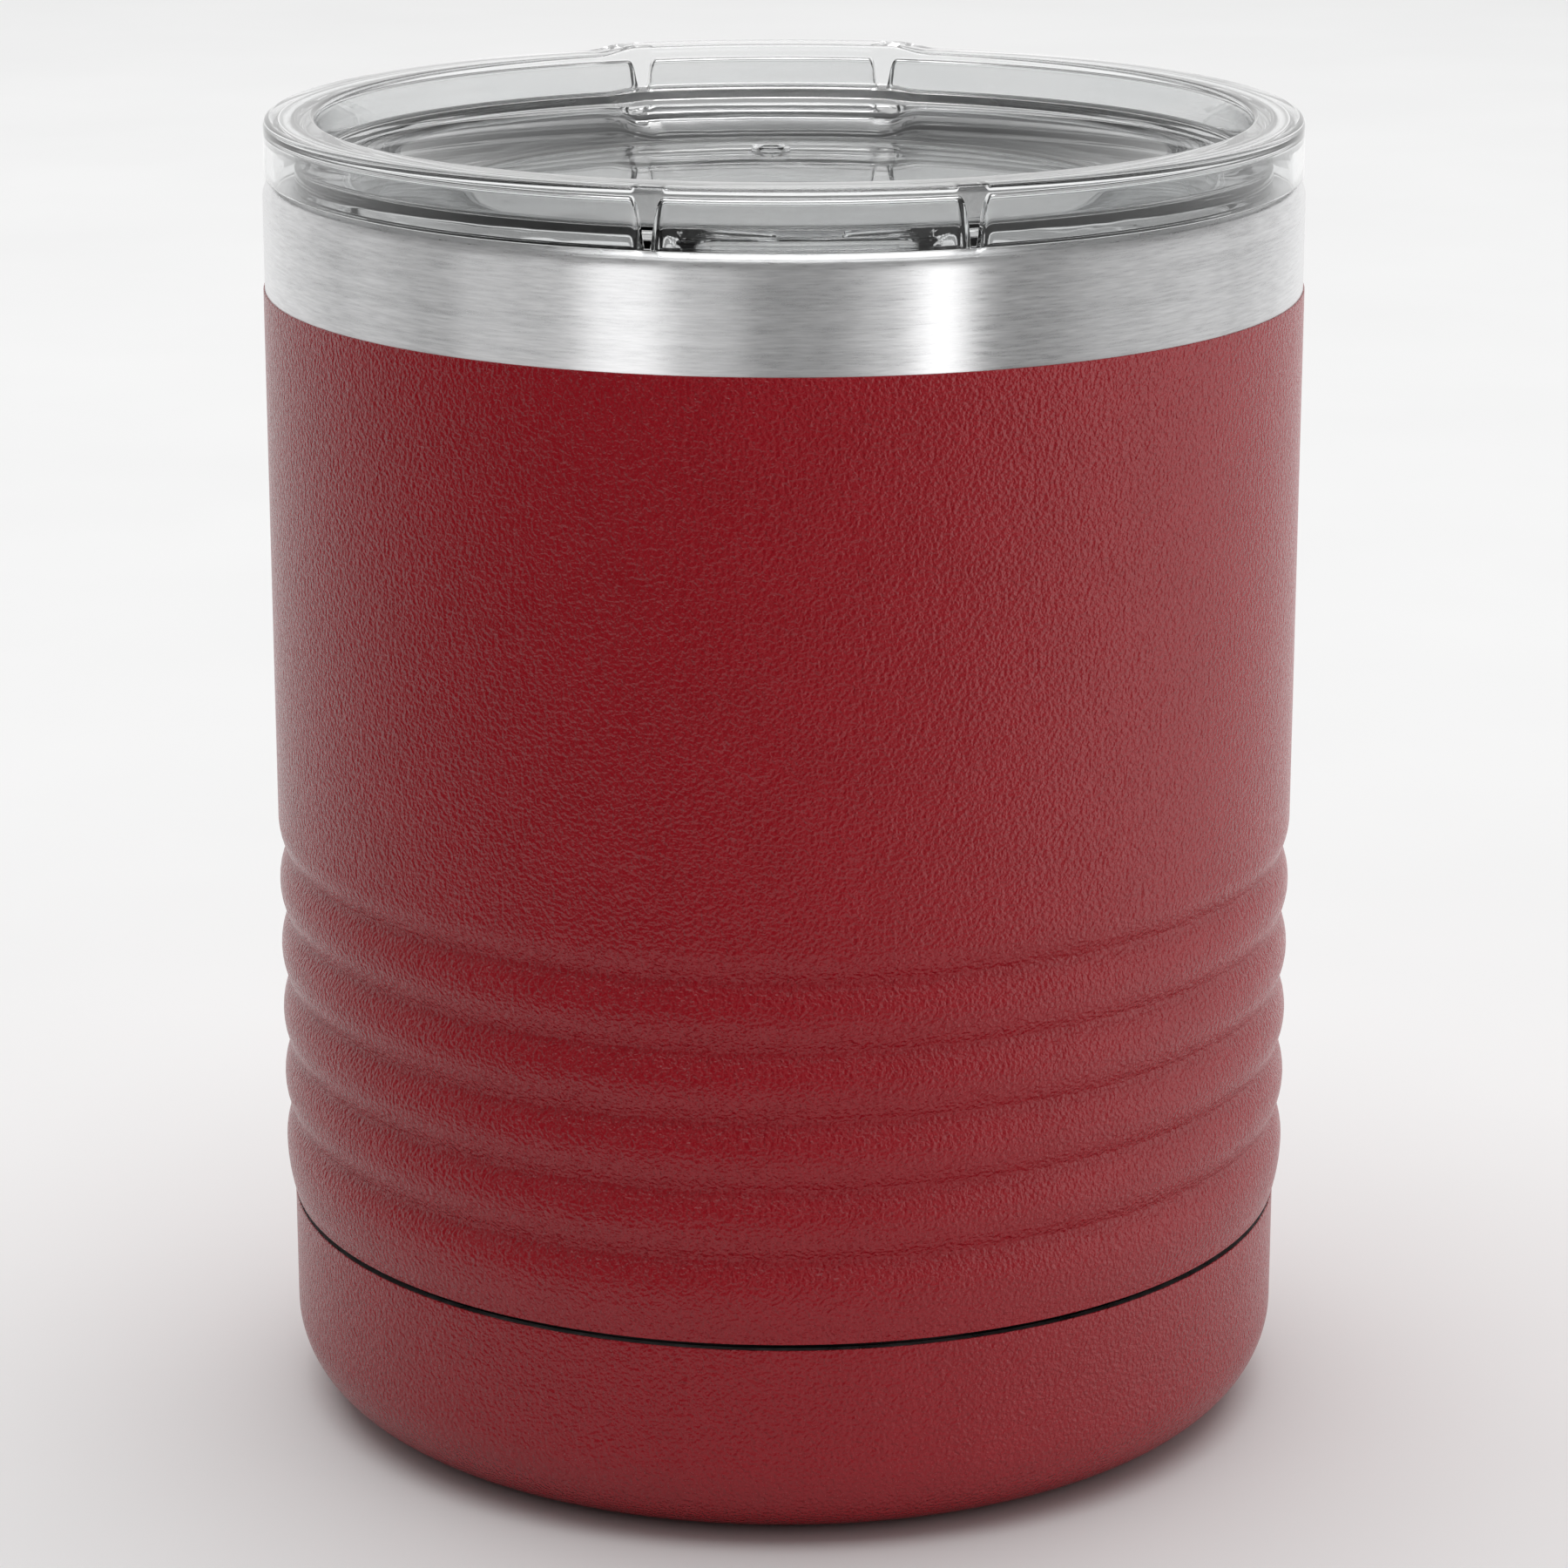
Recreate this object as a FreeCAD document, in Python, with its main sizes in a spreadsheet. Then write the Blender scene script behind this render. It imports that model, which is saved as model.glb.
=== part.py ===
import FreeCAD, Part
import math
import os
import re
import Sketcher
from FreeCAD import Vector

# Double-wall insulated tumbler with a clear press-in lid. Millimetres, +Z up.
# The origin is the centre of the foot, on the surface that the tumbler stands on.
# The drinking opening of the lid points to -Y and its vent to +Y.

document = FreeCAD.newDocument("Tumbler")
sheet = document.addObject("Spreadsheet::Sheet", "Sizes")

drivingSizes = [
    # overall
    ("bodyRadius", 43.0, "outside radius of the coated body"),
    ("lipHeight", 104.9, "top of the drinking lip above the foot"),
    ("shellWall", 0.5, "steel of the outer shell"),
    ("linerWall", 0.5, "steel of the inner cup"),
    ("coatThickness", 0.12, "powder coat"),
    ("bandWidth", 9.15, "bare steel below the lip"),
    # rolled ribs
    ("ribPitch", 5.75, "from one groove to the next"),
    ("ribDepth", 0.9, "depth of a groove"),
    ("firstGroove", 56.9, "from the lip down to the first groove"),
    ("seamHeight", 17.75, "middle of the seam above the foot"),
    ("seamGap", 0.5, "open height of the seam"),
    # base cap
    ("capSetIn", 0.63, "how far the base cap stands inside the body's radius"),
    ("capWall", 0.6, "steel of the base cap"),
    ("capCorner", 7.5, "outside radius of the base cap's corner"),
    ("footInner", 28.0, "inside radius of the foot ring"),
    ("footRise", 1.2, "rise of the recess inside the foot ring"),
    ("capFit", 0.1, "gap between the shell's neck and the base cap"),
    ("neckEnd", 8.6, "lower end of the shell's neck above the foot"),
    ("glueThickness", 0.8, "adhesive between the base cap and the vacuum base"),
    ("glueInner", 14.0, "inside radius of the adhesive ring"),
    ("glueWidth", 9.0, "width of the adhesive ring"),
    # inner cup
    ("mouthRadius", 39.8, "inside radius of the mouth, where the lid plugs in"),
    ("shoulderDrop", 10.4, "from the lip down to the shoulder below the lid"),
    ("shoulderStep", 1.4, "step of the inner cup at its shoulder"),
    ("linerFloor", 12.0, "inside floor of the inner cup above the foot"),
    ("linerCorner", 9.0, "inside corner radius of the inner cup"),
    # hidden vacuum parts
    ("plateThickness", 0.6, "steel of the vacuum base"),
    ("plateRim", 3.2, "height of the vacuum base's welded rim"),
    ("dimpleRadius", 6.0, "dimple round the evacuation port"),
    ("dimpleRise", 1.6, "height of the dimple"),
    ("portRadius", 0.8, "evacuation port"),
    ("sealRadius", 2.4, "solder-glass bead that closes the port"),
    ("sealThickness", 1.1, "thickness of the solder-glass bead"),
    ("getterRadius", 4.5, "getter pellet"),
    ("getterThickness", 1.6, "getter pellet"),
    ("getterPlace", 22.0, "getter's distance from the axis"),
    ("clipWidth", 3.0, "width of the getter's clip"),
    ("clipThickness", 0.25, "strip of the getter's clip"),
    ("clipFoot", 2.5, "length of each foot of the getter's clip"),
    ("foilThickness", 0.06, "radiation foil"),
    ("foilMargin", 6.0, "bare liner above and below the radiation foil"),
    # lid
    ("lidSetIn", 0.3, "how far the lid stands inside the body's radius"),
    ("lidHeight", 4.9, "height of the lid's flange above the lip"),
    ("lidSeat", 0.05, "gap between the flange and the lip"),
    ("recessWall", 0.9, "from the plug's outside in to the flange's inner edge"),
    ("skirtWall", 1.2, "wall of the flange's outer skirt"),
    ("flangeRoof", 0.9, "thickness of the flange above its cavity"),
    ("flangeRound", 0.6, "rounded outer edge of the flange"),
    ("cavityInset", 0.5, "from the plug's outside to the flange's cavity"),
    ("plugFit", 0.4, "gap between the plug and the mouth"),
    ("plugWall", 1.6, "wall of the plug"),
    ("plugLength", 8.9, "length of the plug below the lip"),
    ("lidLedge", 3.4, "from the lid's top down to the edge of its recessed cone"),
    ("lidLean", 0.6, "lean of the wall between the top and the cone"),
    ("lidFloorDrop", 6.6, "from the lid's top down to its flat floor"),
    ("coneWidth", 9.9, "sloping part of the lid's floor, round its flat middle"),
    ("lidFloorWall", 1.5, "thickness of the lid's floor"),
    ("windowAngle", 34.0, "between the ribs across the flange's cavity, front and back, in degrees"),
    ("webAngle", 1.8, "thickness of each rib across the flange's cavity, in degrees"),
    ("tabRise", 0.5, "raised part of the flange at the back"),
    ("sipInset", 5.9, "from the recess's wall in to the middle of the drinking opening"),
    ("sipLength", 18.0, "drinking opening"),
    ("sipWidth", 6.0, "drinking opening"),
    ("ventInset", 5.5, "from the edge of the flat floor in to the vent"),
    ("ventRadius", 1.0, "vent"),
    ("ventBoss", 1.7, "outside radius of the vent's raised ring"),
    ("ventBossRise", 0.35, "height of the vent's raised ring"),
    # lid gasket
    ("gasketDrop", 4.5, "from the lip down to the top of the gasket's groove"),
    ("gasketHeight", 3.2, "height of the gasket's groove"),
    ("gasketDepth", 1.1, "depth of the gasket's groove in the plug"),
    ("gasketFit", 0.1, "gap between the gasket and what it touches"),
    ("wiperHeight", 0.9, "height of each sealing lip of the gasket"),
]
ribCount = 5

for row, (alias, number, meaning) in enumerate(drivingSizes, start=1):
    sheet.set(f"A{row}", alias)
    sheet.set(f"B{row}", str(number))
    sheet.set(f"C{row}", meaning)
    sheet.setAlias(f"B{row}", alias)
document.recompute()

# Places worked out from the driving sizes. Each may use the ones above it.
derivedPlaces = {
    "shellRadius": "bodyRadius - coatThickness",
    "shellInside": "shellRadius - shellWall",
    "paintLine": "lipHeight - bandWidth",
    "lipMiddle": "(shellRadius + mouthRadius) / 2",
    "lipRound": "(shellRadius - mouthRadius) / 2",
    "lipCentre": "lipHeight - lipRound",
    # a rib is an arc whose chord is the pitch and whose rise is the groove's depth
    "ribRound": "ribPitch ^ 2 / (8 * ribDepth) + ribDepth / 2",
    "ribCentre": "bodyRadius - ribRound",
    "topGroove": "lipHeight - firstGroove",
    "coatGroove": "ribCentre + sqrt(ribRound ^ 2 - (ribPitch / 2) ^ 2)",
    "shellRound": "ribRound - coatThickness",
    "shellGroove": "ribCentre + sqrt(shellRound ^ 2 - (ribPitch / 2) ^ 2)",
    "innerRound": "shellRound - shellWall",
    "innerGroove": "ribCentre + sqrt(innerRound ^ 2 - (ribPitch / 2) ^ 2)",
    # below the last rib the wall curves in to the seam
    "seamTop": "seamHeight + seamGap / 2",
    "seamBottom": "seamHeight - seamGap / 2",
    "lastRib": f"topGroove - ribPitch * {ribCount - 0.5}",
    "taperDrop": "lastRib - seamTop",
    "taperRound": "(taperDrop ^ 2 + capSetIn ^ 2) / (2 * capSetIn)",
    "taperCentre": "bodyRadius - taperRound",
    "taperShellRound": "taperRound - coatThickness",
    "taperShellEnd": "taperCentre + sqrt(taperShellRound ^ 2 - taperDrop ^ 2)",
    "taperInnerRound": "taperShellRound - shellWall",
    "ledgeInside": "seamTop + shellWall",
    "taperInnerEnd": "taperCentre + sqrt(taperInnerRound ^ 2 - (taperDrop - shellWall) ^ 2)",
    # base cap, coated and bare
    "capRadius": "bodyRadius - capSetIn",
    "capCentre": "capRadius - capCorner",
    "capSteel": "capRadius - coatThickness",
    "capSteelRound": "capCorner - coatThickness",
    "capInside": "capSteel - capWall",
    "capInsideRound": "capSteelRound - capWall",
    "capFloor": "coatThickness + capWall",
    "neckRadius": "capInside - capFit",
    "neckInside": "neckRadius - shellWall",
    # inner cup
    "shoulderTop": "lipHeight - shoulderDrop",
    "linerRadius": "mouthRadius - shoulderStep",
    "shoulderBottom": "shoulderTop - shoulderStep",
    "linerOutside": "linerRadius + linerWall",
    "linerBottom": "linerFloor - linerWall",
    "cornerCentre": "linerRadius - linerCorner",
    "foilBottom": "linerFloor + linerCorner + foilMargin",
    "foilTop": "shoulderBottom - foilMargin",
    # a 45 degree bend moves the far side of a sheet by this share of its thickness
    "bendShare": "tan(22.5 deg)",
    # vacuum base
    "glueBottom": "capFloor + footRise",
    "plateBottom": "glueBottom + glueThickness",
    "plateTop": "plateBottom + plateThickness",
    "plateFlat": "neckInside - (neckEnd - plateBottom)",
    "dimpleTop": "plateBottom + dimpleRise",
    "sealDome": "(sealRadius ^ 2 + sealThickness ^ 2) / (2 * sealThickness)",
    # lid
    "lidTop": "lipHeight + lidHeight",
    "lidRadius": "bodyRadius - lidSetIn",
    "flangeBottom": "lipHeight + lidSeat",
    "plugRadius": "mouthRadius - plugFit",
    "recessTop": "plugRadius - recessWall",
    "recessBottom": "recessTop - lidLean",
    "lidFloorRadius": "recessBottom - coneWidth",
    "sipPlace": "recessBottom - sipInset",
    "ventPlace": "lidFloorRadius - ventInset",
    "ledgeHeight": "lidTop - lidLedge",
    "floorTop": "lidTop - lidFloorDrop",
    "floorBottom": "floorTop - lidFloorWall",
    "coneSlope": "(ledgeHeight - floorTop) / (recessBottom - lidFloorRadius)",
    "coneWall": "lidFloorWall * sqrt(1 + coneSlope ^ 2)",
    "plugInside": "plugRadius - plugWall",
    "plugEnd": "lipHeight - plugLength",
    "underCone": "floorTop - coneWall + coneSlope * (plugInside - lidFloorRadius)",
    "grooveTop": "lipHeight - gasketDrop",
    "grooveBottom": "grooveTop - gasketHeight",
    "grooveRadius": "plugRadius - gasketDepth",
    # gasket
    "gasketInside": "grooveRadius + gasketFit",
    "gasketOutside": "mouthRadius - gasketFit",
    "gasketTop": "grooveTop - gasketFit",
    "gasketBottom": "grooveBottom + gasketFit",
}

words = {alias: f"Sizes.{alias}" for alias, number, meaning in drivingSizes}


def bind(text):
    """Turn a sum of plain size names into an expression on the sheet."""
    return re.sub(r"[A-Za-z]\w*", lambda found: words.get(found.group(), found.group()), text)


for placeName, placeSum in derivedPlaces.items():
    words[placeName] = f"({bind(placeSum)})"


def value(text):
    """The number that a sum of size names stands for."""
    return float(sheet.evalExpression(bind(text)))


def newBody(label):
    body = document.addObject("PartDesign::Body", label)
    body.Label = label
    body.Placement = FreeCAD.Placement()
    return body


def newSketch(body, role, name, height=None):
    """A sketch on one of the body's own origin planes, raised by a sum of sizes."""
    sketch = body.newObject("Sketcher::SketchObject", name)
    plane = next(item for item in body.Origin.OriginFeatures if item.Role == role)
    sketch.AttachmentSupport = [(plane, "")]
    sketch.MapMode = "FlatFace"
    if height:
        sketch.setExpression("AttachmentOffset.Base.z", bind(height))
    document.recompute()
    return sketch


def drive(sketch, constraint, text):
    """Add a constraint whose size follows the sheet."""
    index = sketch.addConstraint(constraint)
    sketch.setExpression(f"Constraints[{index}]", bind(text))


def arcMiddle(start, end, radius, side):
    """Middle of the shorter arc from start to end, bulging to its left (1) or right (-1)."""
    chord = end - start
    left = Vector(-chord.y, chord.x, 0).normalize()
    rise = radius - math.sqrt(max(0, radius ** 2 - (chord.Length / 2) ** 2))
    return (start + end) * 0.5 + left * (side * rise)


def drawOutline(sketch, corners):
    """Close an outline through corners of (across, up) or (across, up, arc radius, side).

    A corner that names a radius starts an arc to the next corner.
    """
    points = [Vector(value(corner[0]), value(corner[1]), 0) for corner in corners]
    ends = []
    for index, corner in enumerate(corners):
        start = points[index]
        end = points[(index + 1) % len(points)]
        if len(corner) == 2:
            line = sketch.addGeometry(Part.LineSegment(start, end))
            ends.append((line, 1, 2))
            continue
        middle = arcMiddle(start, end, value(corner[2]), corner[3])
        arc = sketch.addGeometry(Part.Arc(start, middle, end))
        forward = (sketch.getPoint(arc, 1) - start).Length < (sketch.getPoint(arc, 2) - start).Length
        ends.append((arc, 1, 2) if forward else (arc, 2, 1))
    for index, corner in enumerate(corners):
        edge, first, last = ends[index]
        before, ignored, beforeLast = ends[index - 1]
        sketch.addConstraint(Sketcher.Constraint("Coincident", before, beforeLast, edge, first))
        if corner[0] == "0":
            sketch.addConstraint(Sketcher.Constraint("PointOnObject", edge, first, -2))
        else:
            across = Sketcher.Constraint("DistanceX", -1, 1, edge, first, value(corner[0]))
            drive(sketch, across, corner[0])
        up = Sketcher.Constraint("DistanceY", -1, 1, edge, first, value(corner[1]))
        drive(sketch, up, corner[1])
        if len(corner) == 4:
            drive(sketch, Sketcher.Constraint("Radius", edge, value(corner[2])), corner[2])


def turned(label, corners):
    """A body turned round Z from an outline of (radius, height) corners."""
    body = newBody(label)
    sketch = newSketch(body, "XZ_Plane", label + "_outline")
    drawOutline(sketch, corners)
    revolution = body.newObject("PartDesign::Revolution", label + "_turn")
    revolution.Profile = sketch
    revolution.ReferenceAxis = (sketch, ["V_Axis"])
    revolution.Angle = 360
    sketch.Visibility = False
    document.recompute()
    return body


def ribbedWall(edgeRadius, grooveRadius, ribRadius):
    """Corners of a wall from above the first groove down to the middle of the last rib."""
    corners = [(edgeRadius, "topGroove + ribPitch / 2", ribRadius, 1)]
    for rib in range(ribCount):
        corners.append((grooveRadius, f"topGroove - ribPitch * {rib}", ribRadius, 1))
    corners.append((edgeRadius, "lastRib"))
    return corners


def reverseCorners(corners):
    """The same stretch the other way round, with each arc named at its new start."""
    backward = []
    for index in range(len(corners) - 1, -1, -1):
        step = corners[index][:2]
        if index > 0 and len(corners[index - 1]) == 4:
            step = step + (corners[index - 1][2], -corners[index - 1][3])
        backward.append(step)
    return backward


def makeOuterShell():
    outside = ribbedWall("shellRadius", "shellGroove", "shellRound")
    outside[-1] = ("shellRadius", "lastRib", "taperShellRound", 1)
    inside = ribbedWall("shellInside", "innerGroove", "innerRound")
    inside[-1] = ("shellInside", "lastRib", "taperInnerRound", 1)
    inside.append(("taperInnerEnd", "ledgeInside"))
    corners = [("lipMiddle", "lipHeight", "lipRound", 1), ("shellRadius", "lipCentre")]
    corners += outside
    corners += [("taperShellEnd", "seamTop"), ("neckRadius", "seamTop"), ("neckRadius", "neckEnd")]
    corners += [("neckInside", "neckEnd"), ("neckInside", "ledgeInside")]
    corners += reverseCorners(inside)
    corners += [("shellInside", "lipCentre", "lipRound - shellWall", -1)]
    corners += [("lipMiddle", "lipHeight - shellWall")]
    return turned("outer_shell", corners)


def makeInnerCup():
    return turned("inner_cup", [
        ("lipMiddle", "lipHeight", "lipRound", -1),
        ("mouthRadius", "lipCentre"),
        ("mouthRadius", "shoulderTop"),
        ("linerRadius", "shoulderBottom"),
        ("linerRadius", "linerFloor + linerCorner", "linerCorner", 1),
        ("cornerCentre", "linerFloor"),
        ("0", "linerFloor"),
        ("0", "linerBottom"),
        ("cornerCentre", "linerBottom", "linerCorner + linerWall", -1),
        ("linerOutside", "linerFloor + linerCorner"),
        ("linerOutside", "shoulderBottom - linerWall * bendShare"),
        ("mouthRadius + linerWall", "shoulderTop - linerWall * bendShare"),
        ("mouthRadius + linerWall", "lipCentre", "lipRound - linerWall", 1),
        ("lipMiddle", "lipHeight - linerWall"),
    ])


def makeBodyCoat():
    outside = ribbedWall("bodyRadius", "coatGroove", "ribRound")
    outside[-1] = ("bodyRadius", "lastRib", "taperRound", 1)
    inside = ribbedWall("shellRadius", "shellGroove", "shellRound")
    inside[-1] = ("shellRadius", "lastRib", "taperShellRound", 1)
    inside.append(("taperShellEnd", "seamTop"))
    corners = [("bodyRadius", "paintLine")] + outside + [("capRadius", "seamTop")]
    corners += reverseCorners(inside) + [("shellRadius", "paintLine")]
    return turned("body_coat", corners)


def makeBaseCap():
    return turned("base_cap", [
        ("capSteel", "seamBottom"),
        ("capSteel", "capCorner", "capSteelRound", 1),
        ("capCentre", "coatThickness"),
        ("footInner", "coatThickness"),
        ("footInner - footRise", "coatThickness + footRise"),
        ("0", "coatThickness + footRise"),
        ("0", "capFloor + footRise"),
        ("footInner - footRise + capWall * bendShare", "capFloor + footRise"),
        ("footInner + capWall * bendShare", "capFloor"),
        ("capCentre", "capFloor", "capInsideRound", -1),
        ("capInside", "capCorner"),
        ("capInside", "seamBottom"),
    ])


def makeBaseCoat():
    return turned("base_coat", [
        ("capRadius", "seamBottom"),
        ("capRadius", "capCorner", "capCorner", 1),
        ("capCentre", "0"),
        ("footInner", "0"),
        ("footInner", "coatThickness"),
        ("capCentre", "coatThickness", "capSteelRound", -1),
        ("capSteel", "capCorner"),
        ("capSteel", "seamBottom"),
    ])


def makeVacuumBase():
    """A pan welded into the neck, with a dimple that holds the evacuation port."""
    return turned("vacuum_base", [
        ("neckInside", "neckEnd + plateRim"),
        ("neckInside", "neckEnd"),
        ("plateFlat", "plateBottom"),
        ("dimpleRadius + dimpleRise", "plateBottom"),
        ("dimpleRadius", "dimpleTop"),
        ("portRadius", "dimpleTop"),
        ("portRadius", "dimpleTop + plateThickness"),
        ("dimpleRadius + plateThickness * bendShare", "dimpleTop + plateThickness"),
        ("dimpleRadius + dimpleRise + plateThickness * bendShare", "plateTop"),
        ("plateFlat - plateThickness * bendShare", "plateTop"),
        ("neckInside - plateThickness", "neckEnd + plateThickness * bendShare"),
        ("neckInside - plateThickness", "neckEnd + plateRim"),
    ])


def makePortSeal():
    return turned("port_seal", [
        ("0", "dimpleTop"),
        ("0", "dimpleTop - sealThickness", "sealDome", -1),
        ("sealRadius", "dimpleTop"),
    ])


def makeFoil():
    return turned("radiation_foil", [
        ("linerOutside", "foilBottom"),
        ("linerOutside + foilThickness", "foilBottom"),
        ("linerOutside + foilThickness", "foilTop"),
        ("linerOutside", "foilTop"),
    ])


def makeGlueRing():
    return turned("cap_adhesive", [
        ("glueInner", "glueBottom"),
        ("glueInner + glueWidth", "glueBottom"),
        ("glueInner + glueWidth", "plateBottom"),
        ("glueInner", "plateBottom"),
    ])


def makeGetter():
    """A flat pellet that lies on the vacuum base."""
    body = newBody("getter")
    sketch = newSketch(body, "XY_Plane", "getter_outline", "plateTop")
    circle = sketch.addGeometry(Part.Circle(Vector(value("getterPlace"), 0, 0), Vector(0, 0, 1),
                                            value("getterRadius")))
    sketch.addConstraint(Sketcher.Constraint("PointOnObject", circle, 3, -1))
    drive(sketch, Sketcher.Constraint("DistanceX", -1, 1, circle, 3, value("getterPlace")),
          "getterPlace")
    drive(sketch, Sketcher.Constraint("Radius", circle, value("getterRadius")), "getterRadius")
    pad = body.newObject("PartDesign::Pad", "getter_pad")
    pad.Profile = sketch
    pad.setExpression("Length", bind("getterThickness"))
    document.recompute()
    return body


def makeGetterClip():
    """A bent strip over the pellet, with a foot at each side on the vacuum base."""
    body = newBody("getter_clip")
    sketch = newSketch(body, "YZ_Plane", "getter_clip_outline", "getterPlace - clipWidth / 2")
    half = "(getterRadius + clipThickness)"
    top = "plateTop + getterThickness"
    drawOutline(sketch, [
        (f"-{half} - clipFoot", "plateTop"),
        (f"-{half} + clipThickness", "plateTop"),
        (f"-{half} + clipThickness", top),
        (f"{half} - clipThickness", top),
        (f"{half} - clipThickness", "plateTop"),
        (f"{half} + clipFoot", "plateTop"),
        (f"{half} + clipFoot", "plateTop + clipThickness"),
        (half, "plateTop + clipThickness"),
        (half, f"{top} + clipThickness"),
        (f"-{half}", f"{top} + clipThickness"),
        (f"-{half}", "plateTop + clipThickness"),
        (f"-{half} - clipFoot", "plateTop + clipThickness"),
    ])
    pad = body.newObject("PartDesign::Pad", "getter_clip_pad")
    pad.Profile = sketch
    pad.setExpression("Length", bind("clipWidth"))
    document.recompute()
    return body


def lidGroove(body, name, role, angle):
    """Two opposite stretches of the open cavity under the flange, each an arc of this angle."""
    sketch = newSketch(body, role, name + "_outline")
    drawOutline(sketch, [
        ("plugRadius + cavityInset", "lipHeight"),
        ("lidRadius - skirtWall", "lipHeight"),
        ("lidRadius - skirtWall", "lidTop - flangeRoof"),
        ("plugRadius + cavityInset", "lidTop - flangeRoof"),
    ])
    before = body.Shape.Volume
    groove = body.newObject("PartDesign::Groove", name)
    groove.Profile = sketch
    groove.ReferenceAxis = (sketch, ["V_Axis"])
    groove.Midplane = True
    groove.setExpression("Angle", bind(angle))
    document.recompute()
    pattern = body.newObject("PartDesign::PolarPattern", name + "_pair")
    pattern.Originals = [groove]
    pattern.Axis = (sketch, ["V_Axis"])
    pattern.Angle = 360
    pattern.Occurrences = 2
    body.Tip = pattern
    document.recompute()
    assert pattern.Shape.Volume < before


def lidTab(body):
    """The raised stretch of the flange at the back, to push the lid off with a thumb."""
    sketch = newSketch(body, "XY_Plane", "lid_tab_outline", "lidTop")
    across = "sin(windowAngle / 2)"
    ahead = "cos(windowAngle / 2)"
    inner = "recessTop"
    outer = "(lidRadius - flangeRound)"
    drawOutline(sketch, [
        (f"{outer} * {across}", f"{outer} * {ahead}", outer, -1),
        (f"-{outer} * {across}", f"{outer} * {ahead}"),
        (f"-{inner} * {across}", f"{inner} * {ahead}", inner, 1),
        (f"{inner} * {across}", f"{inner} * {ahead}"),
    ])
    pad = body.newObject("PartDesign::Pad", "lid_tab")
    pad.Profile = sketch
    pad.setExpression("Length", bind("tabRise"))
    document.recompute()


def lidOpenings(body):
    """The drinking opening at the front and the vent with its raised ring at the back."""
    bossSketch = newSketch(body, "XY_Plane", "vent_boss_outline", "floorTop")
    ring = bossSketch.addGeometry(Part.Circle(Vector(0, value("ventPlace"), 0), Vector(0, 0, 1),
                                              value("ventBoss")))
    bossSketch.addConstraint(Sketcher.Constraint("PointOnObject", ring, 3, -2))
    drive(bossSketch, Sketcher.Constraint("DistanceY", -1, 1, ring, 3, value("ventPlace")),
          "ventPlace")
    drive(bossSketch, Sketcher.Constraint("Radius", ring, value("ventBoss")), "ventBoss")
    boss = body.newObject("PartDesign::Pad", "vent_boss")
    boss.Profile = bossSketch
    boss.setExpression("Length", bind("ventBossRise"))
    document.recompute()

    sketch = newSketch(body, "XY_Plane", "lid_openings_outline", "lidTop")
    straight = "(sipLength - sipWidth) / 2"
    end = "sipWidth / 2"
    drawOutline(sketch, [
        (straight, f"-sipPlace - {end}", end, -1),
        ("sipLength / 2", "-sipPlace", end, -1),
        (straight, f"-sipPlace + {end}"),
        (f"-{straight}", f"-sipPlace + {end}", end, -1),
        ("-sipLength / 2", "-sipPlace", end, -1),
        (f"-{straight}", f"-sipPlace - {end}"),
    ])
    hole = sketch.addGeometry(Part.Circle(Vector(0, value("ventPlace"), 0), Vector(0, 0, 1),
                                          value("ventRadius")))
    sketch.addConstraint(Sketcher.Constraint("PointOnObject", hole, 3, -2))
    drive(sketch, Sketcher.Constraint("DistanceY", -1, 1, hole, 3, value("ventPlace")), "ventPlace")
    drive(sketch, Sketcher.Constraint("Radius", hole, value("ventRadius")), "ventRadius")
    before = body.Shape.Volume
    pocket = body.newObject("PartDesign::Pocket", "lid_openings")
    pocket.Profile = sketch
    pocket.Type = "ThroughAll"
    document.recompute()
    assert pocket.Shape.Volume < before


def makeLid():
    body = turned("lid_body", [
        ("0", "floorTop"),
        ("lidFloorRadius", "floorTop"),
        ("recessBottom", "ledgeHeight"),
        ("recessTop", "lidTop"),
        ("lidRadius - flangeRound", "lidTop", "flangeRound", 1),
        ("lidRadius", "lidTop - flangeRound"),
        ("lidRadius", "flangeBottom"),
        ("plugRadius", "flangeBottom"),
        ("plugRadius", "grooveTop"),
        ("grooveRadius", "grooveTop"),
        ("grooveRadius", "grooveBottom"),
        ("plugRadius", "grooveBottom"),
        ("plugRadius", "plugEnd"),
        ("plugInside", "plugEnd"),
        ("plugInside", "underCone"),
        ("lidFloorRadius", "floorBottom"),
        ("0", "floorBottom"),
    ])
    lidGroove(body, "side_cavity", "XZ_Plane", "180 - windowAngle - webAngle")
    lidGroove(body, "end_cavity", "YZ_Plane", "windowAngle - webAngle")
    lidTab(body)
    lidOpenings(body)
    return body


def makeGasket():
    """A soft ring with two sealing lips, round the plug of the lid."""
    valley = "(gasketTop + gasketBottom) / 2"
    root = "(gasketInside + gasketOutside) / 2"
    return turned("lid_gasket", [
        ("gasketInside", "gasketBottom"),
        (root, "gasketBottom"),
        ("gasketOutside", "gasketBottom + wiperHeight / 2"),
        (root, "gasketBottom + wiperHeight"),
        (root, "gasketTop - wiperHeight"),
        ("gasketOutside", "gasketTop - wiperHeight / 2"),
        (root, "gasketTop"),
        ("gasketInside", "gasketTop"),
    ])


pieces = [
    makeOuterShell(),
    makeInnerCup(),
    makeBodyCoat(),
    makeBaseCap(),
    makeBaseCoat(),
    makeVacuumBase(),
    makePortSeal(),
    makeGetter(),
    makeGetterClip(),
    makeFoil(),
    makeGlueRing(),
    makeLid(),
    makeGasket(),
]
document.recompute()

for item in document.Objects:
    if "Invalid" in item.State or "Error" in item.State:
        raise RuntimeError(f"{item.Label} failed: {item.State}")
for piece in pieces:
    shape = piece.Shape
    if shape.isNull() or not shape.isValid() or len(shape.Solids) != 1:
        raise RuntimeError(f"{piece.Label} is not one valid solid")

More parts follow.
